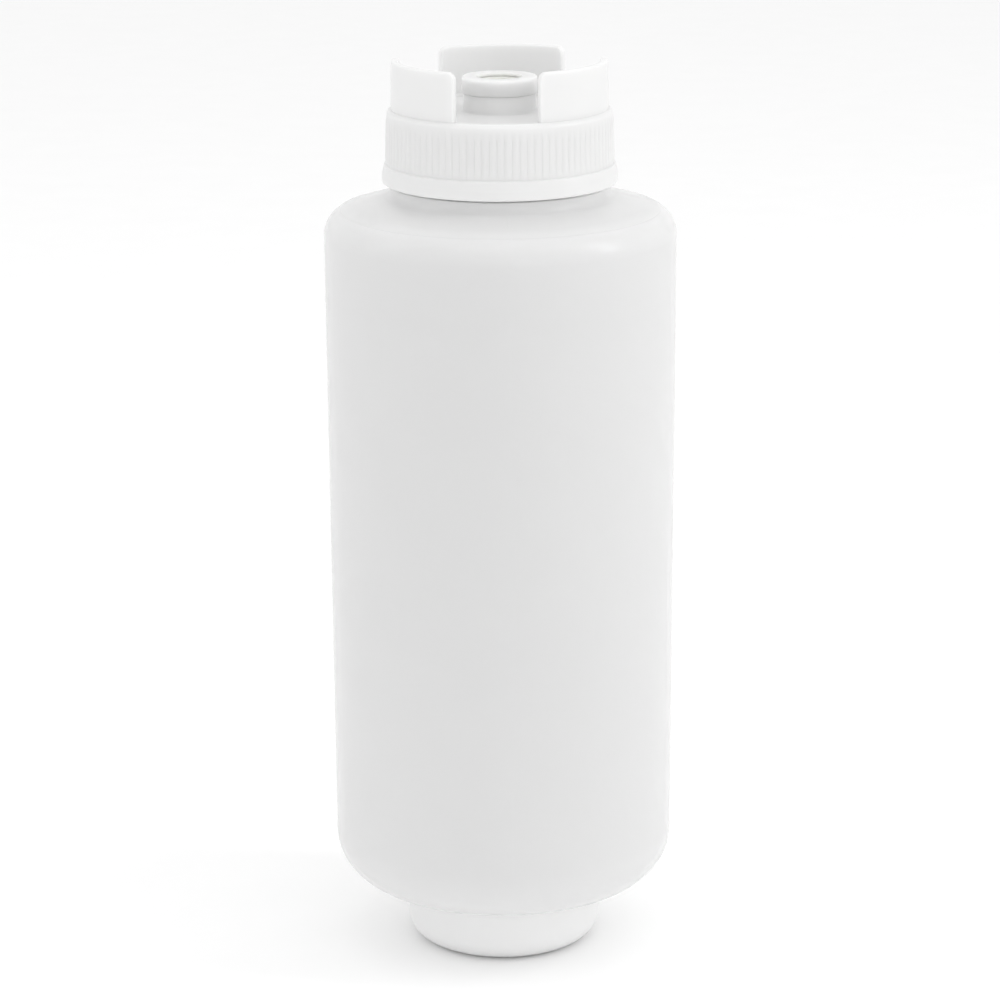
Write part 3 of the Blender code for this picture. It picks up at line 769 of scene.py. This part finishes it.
def make_refill_cap():
    """Refill cap: a smooth cup with a broad rounded lower edge and a thread inside."""
    low, top = REFILL_LOW[2], REFILL_HIGH[2]
    outer = REFILL_HIGH[0]
    points = rounded([
        (0.0, low + REFILL_FLOOR, 0),
        (REFILL_FLOOR_EDGE, low + REFILL_FLOOR, 0.4 * MM),
        (REFILL_LEDGE_INNER, low + REFILL_LEDGE, 0.3 * MM),
        (REFILL_BORE - 1.2 * MM, low + REFILL_LEDGE, 0.6 * MM),
        (REFILL_BORE, low + REFILL_LEDGE + 2.0 * MM, 0.8 * MM),
        (REFILL_BORE, top, 0.4 * MM),
        (outer, top, 0.5 * MM),
        (outer - REFILL_TAPER, low, REFILL_EDGE),
        (0.0, low, 0),
    ], closed=False)

    def spacing(radius, height):
        return NECK_ROW if abs(radius - REFILL_BORE) < 0.05 * MM else REFILL_ROW

    points = filled(points, spacing, closed=False)[1:-1]
    theta = ring_angles(REFILL_COLUMNS)
    radius = np.repeat(points[:, :1], len(theta), axis=1)
    height = np.repeat(points[:, 1:], len(theta), axis=1)
    inside = np.abs(radius - REFILL_BORE) < 0.02 * MM
    ridge = thread(height, theta, LOWER_THREAD_Z + LOWER_LEAD / 2, LOWER_LEAD, CAP_TURNS)
    radius = radius - np.where(inside, ridge * LOWER_THREAD_HEIGHT, 0.0)
    cap = turned_piece("smooth_refill_cap", radius, height, theta, closed=False)
    cap.data.materials.append(REFILL_PLASTIC)
    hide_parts("refill_cap")
    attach(cap, "refill_closure")


# ---------------------------------------------------------------- stage, lights and camera

FLOOR_HALF = 6.0
FLOOR_Z = -0.2 * MM

# Each lamp's name, place, aim, (width, height) and power: one above and in front, one above and behind, a
# tall softbox on each side, stronger on the right, and a low one in front.
MIDDLE = (0.0, 0.0, 0.12)
SHOULDER = (0.0, 0.0, 0.19)
LAMPS = [
    ("overhead_front", (0.15, -0.45, 1.3), MIDDLE, (1.0, 0.8), 1.1),
    ("overhead_back", (0.0, 0.6, 1.2), MIDDLE, (1.4, 0.6), 0.6),
    ("right_strip", (1.17, -0.2, 0.93), SHOULDER, (0.2, 0.9), 2.6),
    ("left_strip", (-1.17, -0.16, 0.98), SHOULDER, (0.16, 0.7), 0.6),
    ("low_front", (0.5, -1.2, 0.35), SHOULDER, (0.5, 0.25), 0.6),
]
ROOM_STRENGTH = 0.97

# The camera's place and tilt before it is turned round the bottle's axis.
CAMERA_PLACE = (0.0, -0.8584, 0.3519)
CAMERA_PITCH = math.radians(90.0 - 15.36)
CAMERA_YAW = math.radians(0.03)
CAMERA_ROLL = math.radians(-0.313)
CAMERA_TURN = math.radians(1.6)
CAMERA_LENS = 126.43
SENSOR_WIDTH = 36.0


def make_floor():
    """A pale matt floor."""
    half = FLOOR_HALF
    mesh = bpy.data.meshes.new("floor")
    mesh.from_pydata(
        [(-half, -half, 0.0), (half, -half, 0.0), (half, half, 0.0), (-half, half, 0.0)], [], [(0, 1, 2, 3)]
    )
    floor = bpy.data.objects.new("floor", mesh)
    bpy.context.scene.collection.objects.link(floor)
    floor.location.z = FLOOR_Z
    material, tree, shader, place = node_material("pale_floor")
    speck = noise(tree, place, 40.0)
    tree.links.new(tint(tree, speck, (0.95, 0.95, 0.95), (0.96, 0.96, 0.96)), shader.inputs["Base Color"])
    shader.inputs["Roughness"].default_value = 0.9
    shader.inputs["Specular IOR Level"].default_value = 0.1
    floor.data.materials.append(material)


def area_light(name, place, aim, size, power):
    """A soft rectangular lamp that faces a point."""
    data = bpy.data.lights.new(name, "AREA")
    data.shape = "RECTANGLE"
    data.size, data.size_y = size
    data.energy = power
    lamp = bpy.data.objects.new(name, data)
    lamp.location = place
    lamp.rotation_euler = (Vector(aim) - Vector(place)).to_track_quat("-Z", "Y").to_euler()
    bpy.context.scene.collection.objects.link(lamp)


def make_lights():
    """The lamps and a bright white room."""
    for lamp in LAMPS:
        area_light(*lamp)
    world = bpy.data.worlds.new("studio")
    world.use_nodes = True
    background = world.node_tree.nodes["Background"]
    background.inputs["Color"].default_value = (1.0, 1.0, 1.0, 1.0)
    background.inputs["Strength"].default_value = ROOM_STRENGTH
    bpy.context.scene.world = world


def make_camera():
    """A long lens a little above the bottle, looking down at its middle, tilted by a third of a degree."""
    data = bpy.data.cameras.new("camera")
    data.sensor_width = SENSOR_WIDTH
    data.lens = CAMERA_LENS
    data.clip_end = 50.0
    camera = bpy.data.objects.new("camera", data)
    turn = Matrix.Rotation(CAMERA_TURN, 3, "Z")
    look_down = turn @ Euler((CAMERA_PITCH, 0.0, CAMERA_YAW), "XYZ").to_matrix()
    roll = Matrix.Rotation(CAMERA_ROLL, 3, "Z")
    camera.rotation_euler = (look_down @ roll).to_euler()
    camera.location = turn @ Vector(CAMERA_PLACE)
    bpy.context.scene.collection.objects.link(camera)
    bpy.context.scene.camera = camera


# The stops passed as ends whiten the bottle's colour at its heel and shoulder: painted light that lifts the
# shade low on the body and under the cap.
POLYETHYLENE = moulded(
    "natural_polyethylene", (0.94, 0.94, 0.938), (0.925, 0.925, 0.923), roughness=(0.19, 0.25),
    scatter=0.85, depth=6.0 * MM, ends=PAINTED_LIGHT_STOPS
)
WHITE_CAP = moulded(
    "white_polypropylene", (0.77, 0.77, 0.768), (0.755, 0.755, 0.753), roughness=(0.3, 0.36),
    scatter=0.7, depth=2.8 * MM
)
# The ring is the cap's white plastic, made much paler than the cap as painted light that lifts the shade in
# the recess between the legs.
RING_WHITE_WITH_PAINTED_LIGHT = moulded(
    "ring_polypropylene", (0.98, 0.98, 0.96), (0.965, 0.965, 0.945), roughness=(0.3, 0.36),
    scatter=0.9, depth=4.0 * MM
)
REFILL_PLASTIC = moulded(
    "refill_polyethylene", (0.88, 0.88, 0.878), (0.865, 0.865, 0.863), roughness=(0.34, 0.42),
    scatter=0.6, depth=4.0 * MM
)
# The silicone's faint yellow tint is its own colour; its near-white brightness is painted light that lifts
# the shade in the valve's hole.
SILICONE_WITH_PAINTED_LIGHT = moulded(
    "clear_silicone", (0.97, 0.975, 0.88), (0.95, 0.96, 0.85), roughness=(0.32, 0.42),
    scatter=0.9, depth=4.0 * MM, clear=0.1, grain=1500.0
)
SEAL_FOAM = moulded(
    "sealing_foam", (0.84, 0.84, 0.82), (0.8, 0.8, 0.78), roughness=(0.55, 0.75),
    scatter=0.3, depth=1.0 * MM, grain=2500.0
)

make_bottle()
make_dispensing_cap()
make_retaining_ring()
make_valve()
make_gasket()
make_liner()
make_refill_cap()
make_floor()
make_lights()
make_camera()
bpy.context.scene.view_settings.view_transform = "Standard"
